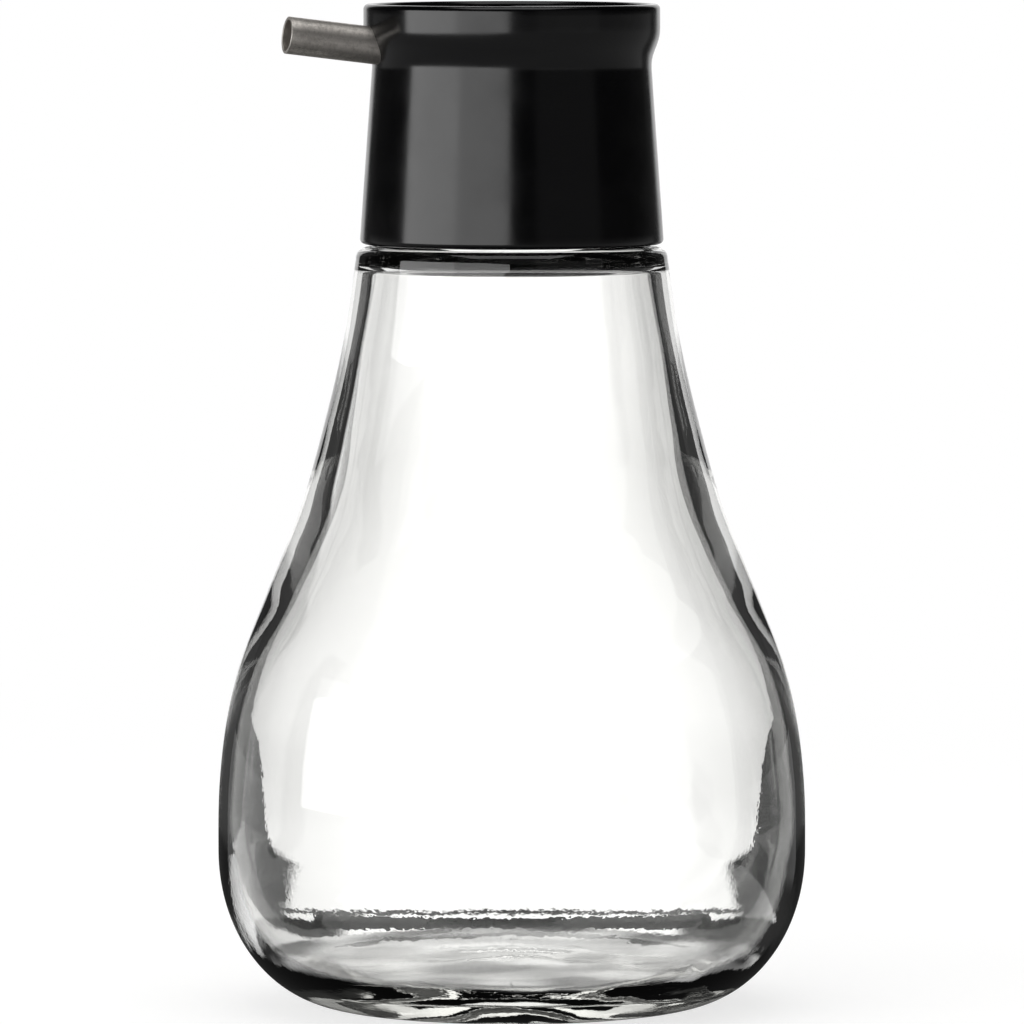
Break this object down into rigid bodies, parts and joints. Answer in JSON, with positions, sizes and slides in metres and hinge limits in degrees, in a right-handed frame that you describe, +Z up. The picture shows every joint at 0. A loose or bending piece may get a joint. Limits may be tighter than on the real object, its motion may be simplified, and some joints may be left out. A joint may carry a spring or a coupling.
{
  "type": "oil cruet",
  "caption": "Pear-shaped clear glass oil cruet with a flared gloss black cap and a straight steel tube spout.",
  "frame": {"origin": "centre of the foot, on the surface that the cruet stands on", "axes": "+Z up along the bottle's axis; the spout points along -X and rises 7 degrees"},
  "size_m": [0.0792, 0.0792, 0.135],
  "materials": {
    "clear_glass": "clear, fire-polished, slightly uneven inside",
    "black_plastic": "moulded, high gloss",
    "spout_steel": "drawn tube, fine lengthwise satin"
  },
  "bodies": {
    "root": {"bottle": "clear_glass", "cap": "black_plastic", "spout": "spout_steel"}
  },
  "joints": []
}
